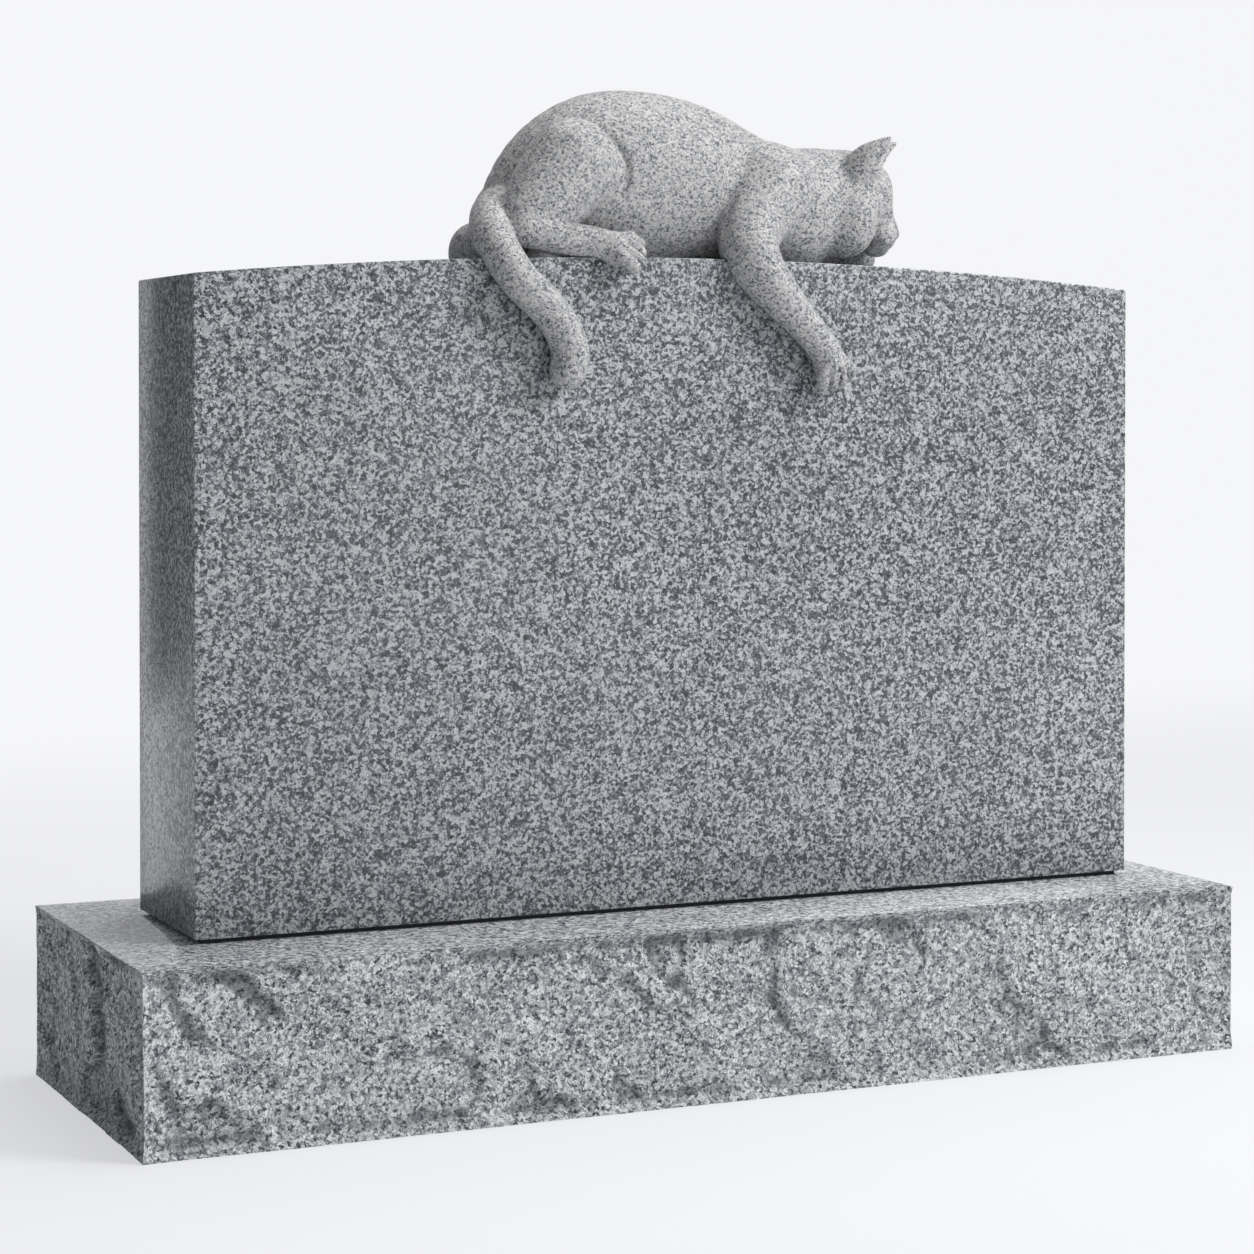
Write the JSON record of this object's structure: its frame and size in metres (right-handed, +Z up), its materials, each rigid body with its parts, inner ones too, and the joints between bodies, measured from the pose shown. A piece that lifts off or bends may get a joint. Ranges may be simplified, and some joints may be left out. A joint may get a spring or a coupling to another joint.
{
  "type": "headstone",
  "caption": "Arched granite headstone on a rock-pitched base, with a carved cat asleep along the top, its tail and one front leg hanging over the face.",
  "frame": {"origin": "middle of the underside of the base, on the ground", "axes": "+X to the cat's head end along the width, +Y to the back, +Z up"},
  "size_m": [1.04, 0.356, 0.8843],
  "materials": {
    "base_granite": "rock-pitched sides, polished top",
    "setting_compound": "matt",
    "spacer": "matt",
    "die_granite": "polished",
    "cat_granite": "honed"
  },
  "bodies": {
    "root": {"base": "base_granite", "setting_compound": "setting_compound", "setting_spacer_1": "spacer", "setting_spacer_2": "spacer", "setting_spacer_3": "spacer", "setting_spacer_4": "spacer", "die": "die_granite", "cat": "cat_granite"}
  },
  "joints": []
}
